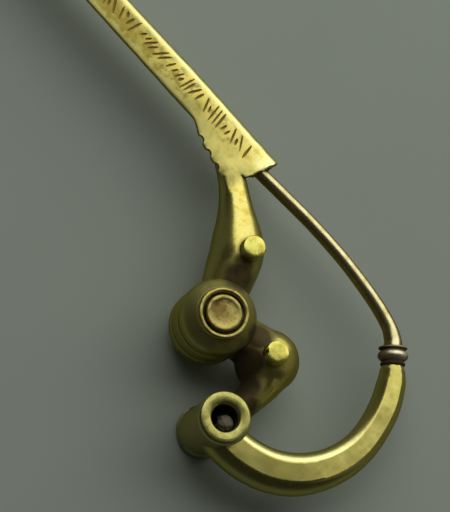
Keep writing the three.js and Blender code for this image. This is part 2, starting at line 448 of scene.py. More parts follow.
def spread(tree, value, low, high, to_low=0.0, to_high=1.0, kind="LINEAR"):
    """The stretch from low to high, widened or narrowed to another stretch and held there."""
    node = tree.nodes.new("ShaderNodeMapRange")
    node.interpolation_type = kind
    feed(tree, node.inputs["Value"], value)
    for name, limit in (("From Min", low), ("From Max", high), ("To Min", to_low),
                        ("To Max", to_high)):
        node.inputs[name].default_value = limit
    return node.outputs["Result"]


def noise(tree, place, scale, detail, roughness=0.5):
    node = tree.nodes.new("ShaderNodeTexNoise")
    feed(tree, node.inputs["Vector"], place)
    feed(tree, node.inputs["Scale"], scale)
    node.inputs["Detail"].default_value = detail
    node.inputs["Roughness"].default_value = roughness
    return node.outputs["Fac"]


def object_place(tree):
    return tree.nodes.new("ShaderNodeTexCoord").outputs["Object"]


def mix_colour(tree, factor, first, second):
    """A mix of two colours, each given as a colour or a socket."""
    node = tree.nodes.new("ShaderNodeMix")
    node.data_type = "RGBA"
    feed(tree, node.inputs[0], factor)
    for socket, value in ((node.inputs[6], first), (node.inputs[7], second)):
        feed(tree, socket, value if isinstance(value, bpy.types.NodeSocket) else (*value, 1))
    return node.outputs[2]


def new_group(name, inputs, outputs):
    """A node group of plain numbers. inputs holds each input's name and default."""
    group = bpy.data.node_groups.new(name, "ShaderNodeTree")
    for label, default in inputs.items():
        socket = group.interface.new_socket(
            name=label, in_out="INPUT", socket_type="NodeSocketFloat")
        socket.default_value = default
    for label in outputs:
        group.interface.new_socket(name=label, in_out="OUTPUT", socket_type="NodeSocketFloat")
    given = group.nodes.new("NodeGroupInput").outputs
    result = group.nodes.new("NodeGroupOutput").inputs
    return group, given, result


def soil_and_shade_group():
    """A mask of the low, occluded places, where it lays soil and painted shade."""
    group, given, result = new_group(
        "soil_and_painted_shade_in_low_places", {"Reach": 1.2 * MM, "Grain": 900.0}, ("Mask",))
    occlusion = group.nodes.new("ShaderNodeAmbientOcclusion")
    occlusion.samples = 8
    group.links.new(given["Reach"], occlusion.inputs["Distance"])
    low = maths(group, "SUBTRACT", 1.0, occlusion.outputs["AO"])
    grain = noise(group, object_place(group), given["Grain"], 3)
    patchy = maths(group, "MULTIPLY_ADD", grain, 1.1, 0.45)
    mask = spread(group, maths(group, "MULTIPLY", low, patchy), 0.25, 0.85, kind="SMOOTHSTEP")
    group.links.new(mask, result["Mask"])
    return group


def hand_wear_group():
    """Mottling, fine scratches and pits of old gold, from Object coordinates."""
    group, given, result = new_group(
        "hand_wear", {"Mottle Scale": 500.0, "Scratch Scale": 1500.0}, ("Mottle", "Height"))
    place = object_place(group)
    mottle = noise(group, place, given["Mottle Scale"], 5, roughness=0.62)
    stretch = group.nodes.new("ShaderNodeMapping")
    stretch.inputs["Rotation"].default_value = (0.3, 0.2, 0.7)
    stretch.inputs["Scale"].default_value = (1, 0.12, 1)
    group.links.new(place, stretch.inputs["Vector"])
    scratches = noise(group, stretch.outputs["Vector"], given["Scratch Scale"], 2)
    height = maths(group, "MULTIPLY_ADD", mottle, 0.6, maths(group, "MULTIPLY", scratches, 0.4))
    group.links.new(mottle, result["Mottle"])
    group.links.new(height, result["Height"])
    return group


def place_effect(tree, name, make_group, **values):
    """A shared effect, made once and placed in a material with its own values."""
    node = tree.nodes.new("ShaderNodeGroup")
    node.node_tree = bpy.data.node_groups.get(name) or make_group()
    for label, value in values.items():
        node.inputs[label.replace("_", " ")].default_value = value
    return node


def patchy_mark(tree, mottle, name, patchiness):
    """A vertex mark whose border, where it is neither 0 nor 1, is broken up by the mottle."""
    attribute = tree.nodes.new("ShaderNodeAttribute")
    attribute.attribute_name = name
    amount = attribute.outputs["Fac"]
    shift = maths(tree, "MULTIPLY_ADD", mottle, patchiness, -patchiness / 2)
    border = maths(tree, "PINGPONG", amount, 0.5)
    share = maths(tree, "MULTIPLY_ADD", border, 1.6, 0.2)
    return spread(tree, maths(tree, "MULTIPLY_ADD", shift, share, amount), 0, 1)


def new_material(name, colour):
    material = bpy.data.materials.new(name)
    material.use_nodes = True
    material.diffuse_color = (*colour, 1)
    return material, material.node_tree.nodes["Principled BSDF"]


def add_relief(tree, shader, wear, depth, strength):
    bump = tree.nodes.new("ShaderNodeBump")
    bump.inputs["Strength"].default_value = strength
    bump.inputs["Distance"].default_value = depth * MM
    tree.links.new(wear.outputs["Height"], bump.inputs["Height"])
    tree.links.new(bump.outputs["Normal"], shader.inputs["Normal"])


GOLD_SHEEN = (0.62, 0.56, 0.34)
# Pale gold for painted highlights on rubbed edges.
EDGE_HIGHLIGHT_GOLD = (0.97, 0.94, 0.42)
# Near-black crust for soil patches, which also paint shade where the bow's parts meet.
CRUST_AND_SHADE = (0.07, 0.05, 0.022)
# Reach of the AO mask that lays soil and painted shade in low places.
SOIL_AND_SHADE_REACH = 1.3
CRUMB_RELIEF = 0.08


def old_gold(name, bright, deep, dull_shaded, roughness, mottle=500, relief=0.02, stain=None,
             tones=(0.38, 0.6)):
    """Gold that is bright where rubbed; its dull flanks and soiled hollows are partly painted
    shade.

    mottle is the fineness of its mottling, tones the stretch of the mottling over which deep
    gold turns bright, and relief the depth of its pits in millimetres.
    """
    if name in bpy.data.materials:
        return bpy.data.materials[name]
    material, shader = new_material(name, bright)
    tree = material.node_tree
    shader.inputs["Specular Tint"].default_value = (*GOLD_SHEEN, 1)
    wear = place_effect(tree, "hand_wear", hand_wear_group, Mottle_Scale=mottle)
    low = place_effect(tree, "soil_and_painted_shade_in_low_places", soil_and_shade_group, Reach=SOIL_AND_SHADE_REACH * MM)
    cloud, soil_and_shade_mask = wear.outputs["Mottle"], low.outputs["Mask"]
    # The rubbed mark: bright on worn faces, dull gold on the flanks as painted shade.
    rubbed_and_lit = patchy_mark(tree, cloud, "rubbed_and_lit", 0.7)
    crust_and_shade = patchy_mark(tree, cloud, "soiled_and_shaded", 1.2)
    colour = mix_colour(tree, spread(tree, cloud, *tones), deep, bright)
    colour = mix_colour(tree, rubbed_and_lit, dull_shaded, colour)
    if stain:
        colour = mix_colour(tree, patchy_mark(tree, cloud, "stained", 7.0), colour, stain)
    # Pale gold where the edge mark is set: a painted highlight on the catch's fold and the arm's
    # inner edge.
    colour = mix_colour(tree, patchy_mark(tree, cloud, "edge", 0.9), colour, EDGE_HIGHLIGHT_GOLD)
    # The crust over soiled patches: real soil, and painted shade between the bow's parts.
    colour = mix_colour(tree, crust_and_shade, colour, CRUST_AND_SHADE)
    # The AO mask darkens low, occluded places with soil and painted shade.
    colour = mix_colour(tree, soil_and_shade_mask, colour, tuple(finishes().soil))
    tree.links.new(colour, shader.inputs["Base Color"])
    rough = spread(tree, cloud, 0.3, 0.7, roughness + 0.05, roughness - 0.04)
    rough = maths(tree, "ADD", rough, maths(tree, "MULTIPLY_ADD", rubbed_and_lit, -0.14, 0.14))
    rough = maths(tree, "MULTIPLY_ADD", crust_and_shade, 0.3, rough)
    rough = maths(tree, "MULTIPLY_ADD", soil_and_shade_mask, 0.35, rough)
    tree.links.new(rough, shader.inputs["Roughness"])
    bare = maths(tree, "MULTIPLY_ADD", crust_and_shade, -0.6, 1.0)
    tree.links.new(bare, shader.inputs["Metallic"])
    add_relief(tree, shader, wear, relief, 0.5)
    return material


def crumbly(name, dark, light, roughness, grain):
    """Matt soil of two tones."""
    if name in bpy.data.materials:
        return bpy.data.materials[name]
    material, shader = new_material(name, light)
    tree = material.node_tree
    wear = place_effect(tree, "hand_wear", hand_wear_group, Mottle_Scale=grain)
    colour = mix_colour(tree, wear.outputs["Mottle"], dark, light)
    tree.links.new(colour, shader.inputs["Base Color"])
    shader.inputs["Roughness"].default_value = roughness
    add_relief(tree, shader, wear, CRUMB_RELIEF, 1.0)
    return material


# ---------------------------------------------------------------- sizes and finishes

class FibulaSizes(bpy.types.PropertyGroup):
    """Sizes of the finer forms, which the solids leave plain."""

    stroke_pitch: FloatProperty(
        name="Stroke pitch", description="Step from one cut stroke on the catch to the next",
        default=0.74 * MM, unit="LENGTH")
    stroke_depth: FloatProperty(
        name="Stroke depth", description="Depth of a cut stroke",
        default=0.18 * MM, unit="LENGTH")
    stroke_row: FloatProperty(
        name="Stroke row", description="Length of the row of strokes along the catch",
        default=55 * MM, unit="LENGTH")
    blend_size: FloatProperty(
        name="Blend size", description="Fineness of the blend between the limbs of the bow",
        default=0.16 * MM, unit="LENGTH")
    seed: IntProperty(
        name="Seed", description="Start of the random draws for the strokes", default=7)


class FibulaFinishes(bpy.types.PropertyGroup):
    """Colours of the gold and of what lies on it."""

    bright_gold: FloatVectorProperty(
        name="Bright gold", description="Gold where it is rubbed",
        default=(0.9, 0.8, 0.25), subtype="COLOR", size=3)
    deep_gold: FloatVectorProperty(
        name="Deep gold", description="Deeper gold that mottles the bright",
        default=(0.64, 0.52, 0.1), subtype="COLOR", size=3)
    # Dull gold on the flanks: tarnish and painted shade.
    dull_shaded_gold: FloatVectorProperty(
        name="Dull gold", description="Tarnished gold on the flanks",
        default=(0.40, 0.37, 0.12), subtype="COLOR", size=3)
    stain: FloatVectorProperty(
        name="Stain", description="Stain round the strokes of the catch",
        default=(0.25, 0.2, 0.035), subtype="COLOR", size=3)
    brown_gold: FloatVectorProperty(
        name="Brown gold", description="The browner metal of the needle",
        default=(0.80, 0.75, 0.42), subtype="COLOR", size=3)
    # The soil colour that the AO mask lays in low places, partly painted shade.
    soil: FloatVectorProperty(
        name="Soil", description="Soil and tarnish in the low places",
        default=(0.045, 0.032, 0.012), subtype="COLOR", size=3)
    floor: FloatVectorProperty(
        name="Floor", description="The pale studio floor",
        default=(0.40, 0.452, 0.395), subtype="COLOR", size=3)


def sizes():
    return bpy.context.scene.fibula_sizes


def finishes():
    return bpy.context.scene.fibula_finishes


def gold():
    """The handled gold of the bow and catch."""
    look = finishes()
    return old_gold("handled_gold", tuple(look.bright_gold), tuple(look.deep_gold),
                    tuple(look.dull_shaded_gold), 0.25, mottle=800, relief=0.03,
                    stain=tuple(look.stain))


def arm_gold():
    """The arm's gold, more even than the bow's."""
    return old_gold("arm_gold", (0.62, 0.56, 0.17), (0.46, 0.41, 0.1),
                    tuple(finishes().dull_shaded_gold), 0.22, mottle=900, relief=0.012,
                    tones=(0.3, 0.7))


def rubbed_gold():
    """The cross pins' gold, yellow on the rubbed ends."""
    return old_gold("rubbed_gold", (0.82, 0.77, 0.18), (0.6, 0.54, 0.1),
                    tuple(finishes().dull_shaded_gold), 0.26, mottle=900)


def tube_gold():
    return old_gold("tube_gold", (0.58, 0.55, 0.17), (0.37, 0.345, 0.1), (0.44, 0.42, 0.2), 0.27,
                    mottle=900)


def browned_gold():
    """The needle's browner gold."""
    return old_gold("browned_gold", tuple(finishes().brown_gold), (0.62, 0.53, 0.24),
                    (0.3, 0.23, 0.07), 0.25, mottle=700)


def collar_gold():
    """The collar's paler metal, brown where it isn't rubbed; the brown on its flanks is partly
    painted shade.
    """
    return old_gold("collar_gold", (0.94, 0.89, 0.66), (0.68, 0.57, 0.36), (0.24, 0.175, 0.085),
                    0.42, mottle=1100)


def dull_worn_gold():
    """The spool's ends, which are rubbed but never bright."""
    return old_gold("dull_worn_gold", (0.56, 0.48, 0.15), (0.3, 0.24, 0.065),
                    tuple(finishes().dull_shaded_gold), 0.33, mottle=1300, relief=0.06,
                    stain=(0.2, 0.13, 0.035))


def stroke_soil():
    """Brown soil that fills the bottoms of the strokes."""
    return crumbly("stroke_soil", (0.24, 0.15, 0.02), (0.52, 0.36, 0.06), 0.7, 2200)


def dry_soil():
    """Grey-brown dry soil, matt and crumbly."""
    return crumbly("dry_soil", (0.12, 0.095, 0.06), (0.27, 0.24, 0.17), 0.9, 2500)


def bore_shade_and_soil():
    """Nearly black matt crumbs on the wall of the bore: painted shade of the deep bore, grained
    like packed soil.
    """
    return crumbly("bore_shade_and_soil", (0.008, 0.012, 0.014), (0.03, 0.036, 0.036), 0.6, 1800)


# ---------------------------------------------------------------- bow and catch

# The catch runs along X. Its measures in y and z shrink with it, from START_SCALE at its start to
# TIP_SCALE at its tip, and y is taken from its line.
CATCH_LINE_Y = -18.5
CATCH_DRIFT = 0.35
DRIFT_LENGTH = 12
CATCH_START_X = 9
CATCH_TIP_X = 81
CATCH_WALL = 0.65
FOLD_RADIUS = 1.6
FOLD_Y = -0.55
START_SCALE = 1.05
TIP_SCALE = 0.79
FREE_EDGE = 2.85
FLARE_FROM = 0.6
LIP_EDGE = 0.9
ROOT_SLANT = 0.28
ROOT_CUT_X = 9.56

# Toward the bow, the free edge swings out from LINE_X to SHOULDER_X and runs on out at a slope. It
# comes back by FLARE_X, inside the root of the bow.
FLARE_X = 10.6
SHOULDER_X = 17.2
LINE_X = 20.5
SHOULDER_WIDTH = 1.25
FLARE_SLOPE = 0.23

# The mesh of the sheet: the width of its columns, the steps round its fold and those along it.
FIRST_STRIP = 0.45
COLUMN_STEP = 0.5
FOLD_STEPS = 16
FINE_STEP = 0.45
FINE_STEPS = 39
COARSE_STEP = 0.9

EDGE_BITES = ((17.85, -14.45), (15.95, -13.9), (14.05, -13.45))
BITE_RADIUS = 0.7

BEND_RADIUS = 4.05
BEND_HALF_DEPTH = 4.35
SEAT_RADIUS = 3.0

FIRST_STROKE_X = 12.7
STROKE_CLEARANCE = 0.52
STROKE_TRIES = 12
STROKE_NEIGHBOURS = 8
SHORT_STROKE = 0.7

# Finishes in the order in which a piece gets them.
METAL, FILLING, BORE_WALL = 0, 1, 2


def root_flare(x):
    """How far the free edge of the catch swings out to meet the root of the bow."""
    shoulder = SHOULDER_WIDTH * (1 - smoothstep(x, SHOULDER_X, LINE_X))
    return smoothstep(x, FLARE_X, 12.8) * (shoulder + FLARE_SLOPE * max(0, SHOULDER_X - x))


def catch_scale(x):
    along = (x - CATCH_START_X) / (CATCH_TIP_X - CATCH_START_X)
    return START_SCALE + (TIP_SCALE - START_SCALE) * along


def catch_line(x):
    drift = min(max((x - CATCH_START_X) / DRIFT_LENGTH, 0), 1)
    return CATCH_LINE_Y - CATCH_DRIFT * drift


def across_catch(point):
    """A point's x, and its place across the catch."""
    spot = (point - START).xy / MM
    return spot.x, (spot.y - catch_line(spot.x)) / catch_scale(spot.x)


def catch_edge_highlight(vert):
    """The fold and the root of the catch are paler than its middle: rubbed wear and a painted
    highlight.
    """
    x, y = across_catch(vert.co)
    if x < CATCH_START_X - 0.5 or vert.co.z < START.z:
        return 0.0
    fold = 1 - smoothstep(y, -1.6, -0.3)
    root = (1 - smoothstep(x - ROOT_SLANT * y, 9.9, 11.5)) * (1 - smoothstep(y, 0.2, 1.4))
    return max(fold, root) * smoothstep(abs(vert.normal.z), 0.1, 0.5)


def stain_of_catch(vert):
    """A band of stain lies round the strokes and thickens toward the catch's tip."""
    x, y = across_catch(vert.co)
    if x < CATCH_START_X - 1 or vert.normal.z < 0.3 or vert.co.z < START.z:
        return 0.0
    band = smoothstep(y, -1.5, -0.4) * (1 - smoothstep(y, 1.7, 2.8))
    along = smoothstep(x, 11.5, 15) * (0.3 + 0.36 * smoothstep(x, 19, 32))
    along += 0.3 * smoothstep(x, 26, 38)
    return band * along * (1 - smoothstep(x, 66, 71))


def folded_sheet():
    """The catch: a flat strip whose edge is spun round into a trough, then drawn out in X."""
    first_x = CATCH_START_X - 3
    scale = catch_scale(first_x)

    def across(y, z):
        return at(first_x, catch_line(first_x) + y * scale, z * scale)

    deselect()
    start = across(FREE_EDGE, FOLD_RADIUS - CATCH_WALL / 2)
    bpy.ops.mesh.primitive_plane_add(size=1, location=start, rotation=(0, math.pi / 2, 0))
    sheet = apply_place(bpy.context.object)
    edit(sheet)
    bpy.ops.transform.resize(
        value=(1, FIRST_STRIP * scale * MM, CATCH_WALL * scale * MM), center_override=start)
    bpy.ops.transform.translate(value=(0, -FIRST_STRIP / 2 * scale * MM, 0))
    lay_columns(sheet, across, scale)
    bottom = across(0, 0).z
    fold_line = across(FOLD_Y, 0).y
    pick(sheet, lambda co: co.y < fold_line + MERGE)
    bpy.ops.mesh.spin(
        steps=FOLD_STEPS, angle=-math.pi, center=across(FOLD_Y, 0), axis=(1, 0, 0))
    pick(sheet, lambda co: co.z < bottom and co.y > fold_line - MERGE)
    bpy.ops.mesh.extrude_region_move(
        TRANSFORM_OT_translate={"value": (0, (LIP_EDGE - FOLD_Y) * scale * MM, 0)})
    bpy.ops.mesh.select_all(action="SELECT")
    bpy.ops.mesh.remove_doubles(threshold=MERGE)
    draw_out_section(first_x)
    leave_edit_mode()
    swing_out_free_edge(sheet)
    clean(sheet)
    return sheet


def lay_columns(sheet, across, scale):
    """Draws the strip's edge inward, column by column, to the line where the fold begins."""
    reach = FREE_EDGE - FIRST_STRIP
    whole = int((reach - FOLD_Y) / COLUMN_STEP)
    columns = [reach - COLUMN_STEP * i for i in range(1, whole)] + [FOLD_Y]
    for y in columns:
        edge_y = across(reach, 0).y
        pick(sheet, lambda co: co.y < edge_y + MERGE)
        bpy.ops.mesh.extrude_region_move(
            TRANSFORM_OT_translate={"value": (0, (y - reach) * scale * MM, 0)})
        reach = y


def draw_out_section(first_x):
    """Draws the selected section out along X to the catch's tip, in fine steps near the bow."""
    stops = [first_x + FINE_STEP * i for i in range(1, FINE_STEPS + 1)]
    while stops[-1] < CATCH_TIP_X:
        stops.append(min(stops[-1] + COARSE_STEP, CATCH_TIP_X))
    bpy.ops.mesh.select_all(action="SELECT")
    x = first_x
    for new_x in stops:
        ratio = catch_scale(new_x) / catch_scale(x)
        here = at(x, catch_line(x))
        there = at(new_x, catch_line(new_x))
        bpy.ops.mesh.extrude_region_move(TRANSFORM_OT_translate={"value": there - here})
        bpy.ops.transform.resize(value=(1, ratio, ratio), center_override=there)
        x = new_x


def swing_out_free_edge(sheet):
    """Moves the rings' outer columns over, ring by ring, to meet the root of the bow."""
    edit(sheet)
    mesh = bmesh.from_edit_mesh(sheet.data)
    rings = sorted({round((vert.co.x - START.x) / MM, 3) for vert in mesh.verts})
    for x in rings:
        flare = root_flare(x)
        if flare < 0.01:
            continue
        scale = catch_scale(x) * MM
        place = at(x, catch_line(x)) + Vector((0, FLARE_FROM * scale, 0))
        span = (FREE_EDGE - FLARE_FROM) * scale
        pick(sheet, lambda co: abs(co.x - place.x) < 0.01 * MM and co.y > place.y)
        bpy.ops.transform.resize(value=(1, 1 + flare * MM / span, 1), center_override=place)
    leave_edit_mode()


class FIBULA_OT_bow(bpy.types.Operator):
    """Model the bow and its folded catch"""

    bl_idname = "fibula.bow"
    bl_label = "Bow and catch"

    def execute(self, context):
        limbs = [draw_bar(UPPER_LIMB, 40, 3), draw_bar(LOWER_LIMB, 40, 3),
                 draw_bar(TAIL_LIMB, 40, 3), self.tongue(), self.lower_bend()]
        bow = join(limbs)
        apply_modifier(bow, "REMESH", mode="VOXEL", voxel_size=sizes().blend_size,
                       use_smooth_shade=True)
        apply_modifier(bow, "SMOOTH", factor=0.5, iterations=14)
        bow.name = "bow"
        dent(bow, 3.5, 0.12)
        coat(bow, gold(), stroke_soil())
        cut(bow, self.barrel(), "UNION")
        cut(bow, self.catch(), "UNION")
        clean(bow)
        settle(bow, "bow_and_catch", 40)
        mark(bow, "rubbed_and_lit", self.rubbed_and_lit)
        mark(bow, "edge", catch_edge_highlight)
        mark(bow, "stained", stain_of_catch)
        mark_soiled_and_shaded(bow, SOIL_AND_SHADE_PATCHES)
        hand_over(bow, "gold", "bow_with_catch")
        return {"FINISHED"}

    def rubbed_and_lit(self, vert):
        """The limbs' flanks stay dull as painted shade; the barrel round the spool and the catch's
        free side are duller than the rest.
        """
        x, y = across_catch(vert.co)
        from_spool = ((vert.co - START).xy / MM - Vector(SPOOL)).length
        facing = abs(vert.normal.z)
        off_barrel = 0.1 + 0.9 * smoothstep(from_spool, 4.85, 5.4)
        limb = smoothstep(facing, 0.55, 0.96) * off_barrel
        dulling = (0.7 + 0.2 * smoothstep(x, 14, 22)) * smoothstep(y, -0.6, 2.6 + root_flare(x))
        flat = smoothstep(facing, 0.05, 0.4) * (1 - dulling)
        return limb + (flat - limb) * smoothstep(x - ROOT_SLANT * y, 8.8, 10.4)

    def tongue(self):
        """The low ridge by which the neck runs out onto the catch."""
        tongue = draw_bar(ROOT_TONGUE, 32, 3)
        edit(tongue)
        bpy.ops.mesh.select_all(action="SELECT")
        bpy.ops.transform.translate(value=(0, 0, TONGUE_HEIGHT * MM))
        leave_edit_mode()
        return tongue

    def lower_bend(self):
        """The swollen bend round the lower cross pin."""
        deselect()
        bpy.ops.mesh.primitive_uv_sphere_add(
            segments=40, ring_count=24, radius=BEND_RADIUS * MM, location=at(*LOWER_BEND))
        ball = apply_place(bpy.context.object)
        edit(ball)
        bpy.ops.transform.resize(
            value=(1, 1, BEND_HALF_DEPTH / BEND_RADIUS), center_override=at(*LOWER_BEND))
        leave_edit_mode()
        return ball

    def barrel(self):
        """The drum with two grooved bands, drilled for the spool pin."""
        half = [(3.3, -5.05), (3.45, -4.95), (3.7, -4.7), (4.08, -4.3), (4.5, -3.8), (4.72, -3.45),
                (4.8, -3.1), (4.82, -1.9), (4.7, -1.7), (4.42, -1.5), (4.7, -1.3), (4.82, -1.1)]
        drum = turn_piece(eased(mirrored(half), 0.16), at(*SPOOL), 72)
        drum.name = "barrel"
        dent(drum, 2.5, 0.05)
        cut(drum, round_cutter(at(*SPOOL), SEAT_RADIUS, 8, 48))
        return drum

    def catch(self):
        """The folded sheet, hammered, bitten at its free edge and cut with the strokes."""
        sheet = folded_sheet()
        sheet.name = "sheet"
        dent(sheet, 2.4, 0.12)
        dent(sheet, 0.9, 0.03)
        self.trim_root(sheet)
        apply_modifier(sheet, "BEVEL", limit_method="ANGLE", angle_limit=math.radians(50),
                       width=0.1 * MM, segments=2)
        for place in EDGE_BITES:
            cut(sheet, round_cutter(at(*place), BITE_RADIUS, 6, 24))
        coat(sheet, gold(), stroke_soil())
        cut(sheet, self.strokes())
        return sheet

    def trim_root(self, sheet):
        """Cuts the catch's bow end on a slant."""
        edit(sheet)
        bpy.ops.mesh.select_all(action="SELECT")
        bpy.ops.mesh.bisect(
            plane_co=at(ROOT_CUT_X, catch_line(CATCH_START_X)),
            plane_no=Vector((1, -ROOT_SLANT, 0)).normalized(), use_fill=True, clear_inner=True)
        leave_edit_mode()

    def strokes(self):
        """A row of short graver's strokes: shallow grooves with pointed ends, no letters."""
        deselect()
        bpy.ops.mesh.primitive_uv_sphere_add(
            segments=10, ring_count=8, radius=1, location=(0, 0, 0))
        tool = bpy.context.object
        coat(tool, gold(), stroke_soil())
        use_finish(tool, FILLING)
        copies = []
        for x, y, half_length, lean, half_width in stroke_layout():
            scale = catch_scale(x)
            copy = tool.copy()
            copy.data = tool.data.copy()
            bpy.context.scene.collection.objects.link(copy)
            copy.scale = (half_length * scale * MM, half_width * MM, sizes().stroke_depth)
            copy.rotation_euler = (0, 0, lean)
            copy.location = at(x, catch_line(x) + y * scale, FOLD_RADIUS * scale)
            copies.append(copy)
        bpy.data.objects.remove(tool)
        return apply_place(join(copies))


def stroke_layout():
    """Where each stroke lies: x, y, half its length, its lean and half its width.

    The strokes are drawn at random, and one that would come close to an earlier one is drawn
    again, so no two of them join into a sign.
    """
    draw = random.Random(sizes().seed)
    strokes = []
    rows = []
    x = FIRST_STROKE_X
    last_x = x + sizes().stroke_row / MM
    while x < last_x:
        for attempt in range(STROKE_TRIES):
            half_length = draw.choice((0.5, 0.8, 1.1, 1.3, 1.4))
            short = half_length < SHORT_STROKE
            y = draw.uniform(-0.15, 0.95) if short else draw.uniform(0.3, 0.5)
            lean = math.pi / 2 + draw.choice((-0.62, -0.45, -0.2, 0.15, 0.4, 0.6))
            reach = Vector((math.cos(lean), math.sin(lean))) * half_length
            points = [Vector((x, y)) + reach * i / 4 for i in range(-4, 5)]
            near = [q for row in rows[-STROKE_NEIGHBOURS:] for q in row]
            if all((p - q).length > STROKE_CLEARANCE for p in points for q in near):
                strokes.append((x, y, half_length, lean, draw.uniform(0.15, 0.21)))
                rows.append(points)
                break
        x += sizes().stroke_pitch / MM * draw.uniform(0.7, 1.2)
    return strokes


# ---------------------------------------------------------------- cross pins, spool and tube

NICK_TURN = 28
NICK_DEPTH = 1.1
NICK_TIP = 0.05

BORE_WALL_RADIUS = 1.8
BORE_WALL_REACH = 5.3
PLUG_RADIUS = 1.04
PLUG_PLACE = Vector((-0.62, 0.04, 3.95))


def node_middle(node):
    """The middle of a solid, and half its size in millimetres."""
    low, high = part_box(node)
    return (low + high) / 2, (high - low) / 2 / MM


def pin_profile(radius, reach):
    edge = 0.16
    rise = 0.03
    return [
        (0.2, -reach), (radius * 0.6, -reach + rise / 2), (radius - edge, -reach + rise),
        (radius - edge * 0.35, -reach + rise + edge * 0.3), (radius, -reach + rise + edge),
        (radius, -reach * 0.5),
    ]


class FIBULA_OT_cross_pins(bpy.types.Operator):
    """Model the two cross pins, one of them nicked"""

    bl_idname = "fibula.cross_pins"
    bl_label = "Cross pins"

    def execute(self, context):
        for node in ("upper_cross_pin", "lower_cross_pin"):
            centre, half_size = node_middle(node)
            radius = half_size.x
            pin = turn_piece(mirrored(pin_profile(radius, PIN_REACH)), centre, 56)
            pin.name = node + "_round"
            if node == "lower_cross_pin":
                self.nick(pin, centre, radius)
            clean(pin)
            dent(pin, 1.2, 0.05)
            settle(pin, node + "_dressed", 42)
            mark_rubbed_and_lit(pin, 0.3, 0.8)
            coat(pin, rubbed_gold())
            hand_over(pin, "worn_gold", node)
        return {"FINISHED"}

    def nick(self, pin, centre, radius):
        """A small bite out of the rim of the upper face."""
        turn = math.radians(NICK_TURN)
        place = centre + level(turn) * radius * 1.02 * MM
        place.z = centre.z + PIN_REACH * MM
        deselect()
        bpy.ops.mesh.primitive_cone_add(
            vertices=5, radius1=NICK_DEPTH / 2 * MM, radius2=NICK_TIP * MM, depth=NICK_DEPTH * MM,
            location=place, rotation=(0.9, 0.2, turn))
        cut(pin, apply_place(bpy.context.object))


class FIBULA_OT_spool(bpy.types.Operator):
    """Model the spool pin with its boss, groove and ring"""

    bl_idname = "fibula.spool"
    bl_label = "Spool pin"

    def execute(self, context):
        boss = [(0.3, 0.12), (1.2, 0.11), (1.6, 0.08), (1.9, 0.02), (2.14, 0.03), (2.26, 0.12),
                (2.32, 0.3)]
        groove = [(2.34, 0.56), (2.42, 0.66), (2.52, 0.6), (2.58, 0.36)]
        ring = [(2.67, 0.22), (2.8, 0.15), (2.96, 0.13), (3.11, 0.17), (3.23, 0.3), (3.3, 0.6)]
        waist = [(3.3, 2.3), (3.05, 2.5)]
        half = from_end(PIN_REACH, boss + groove + ring + waist)
        spool = turn_piece(eased(mirrored(half), 0.07), SPOOL_CENTRE, 80)
        spool.name = "spool"
        clean(spool)
        dent(spool, 1.4, 0.06)
        settle(spool, "spool_pin_dressed", 40)
        mark_rubbed_and_lit(spool, 0.3, 0.9)
        mark(spool, "stained", self.worn_face)
        coat(spool, dull_worn_gold())
        hand_over(spool, "gold", "spool_pin")
        return {"FINISHED"}

    def worn_face(self, vert):
        """Dark worn marks toward one side of the boss."""
        spot = (vert.co - SPOOL_CENTRE).xy / MM
        marks = 0.85 * (1 - smoothstep((spot - Vector((0.8, 0.35))).length, 0.5, 1.9))
        return marks if spot.length < 1.85 else 0.0


class FIBULA_OT_tube(bpy.types.Operator):
    """Model the open cross tube with its rims and a plug of soil in its bore"""

    bl_idname = "fibula.tube"
    bl_label = "Cross tube"

    def execute(self, context):
        centre, half_size = node_middle("cross_tube")
        mouth = [(1.64, 1.0), (1.66, 0.5), (1.71, 0.26), (1.82, 0.11), (2.0, 0.04)]
        rim = [(2.3, 0.01), (2.6, 0), (2.9, 0.02), (3.1, 0.09), (3.23, 0.23), (3.29, 0.42),
               (3.3, 0.66)]
        groove = [(3.22, 0.75), (3.02, 0.82), (3.22, 0.92)]
        band = [(3.22, 1.15), (3.08, 1.28)]
        profile = mirrored(from_end(half_size.z, mouth + rim + groove + band))
        tube = turn_piece(eased(profile, 0.06) + [profile[0]], centre, 72, hollow=True)
        clean(tube)
        tube.name = "tube"
        dent(tube, 1.8, 0.05)
        coat(tube, tube_gold(), dry_soil(), bore_shade_and_soil())
        tube = join([tube, self.soil_plug(centre)])
        settle(tube, "cross_tube_dressed", 40)
        mark_rubbed_and_lit(tube, 0.3, 0.9)
        # The bore's wall gets the near-black finish, painted shade of the deep bore.
        for face in tube.data.polygons:
            away = (face.center - centre) / MM
            inside = away.xy.length < BORE_WALL_RADIUS and abs(away.z) < BORE_WALL_REACH
            if inside and face.material_index == METAL:
                face.material_index = BORE_WALL
        hand_over(tube, "worn_gold", "cross_tube")
        return {"FINISHED"}

    def soil_plug(self, centre):
        """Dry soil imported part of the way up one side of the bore."""
        deselect()
        bpy.ops.mesh.primitive_uv_sphere_add(
            segments=24, ring_count=16, radius=PLUG_RADIUS * MM,
            location=centre + PLUG_PLACE * MM)
        lump = apply_place(bpy.context.object)
        lump.name = "soil"
        apply_modifier(lump, "SUBSURF", levels=1, render_levels=1)
        dent(lump, 0.5, 0.35)
        coat(lump, tube_gold(), dry_soil())
        use_finish(lump, FILLING)
        return lump


# ---------------------------------------------------------------- arm, collar and needle

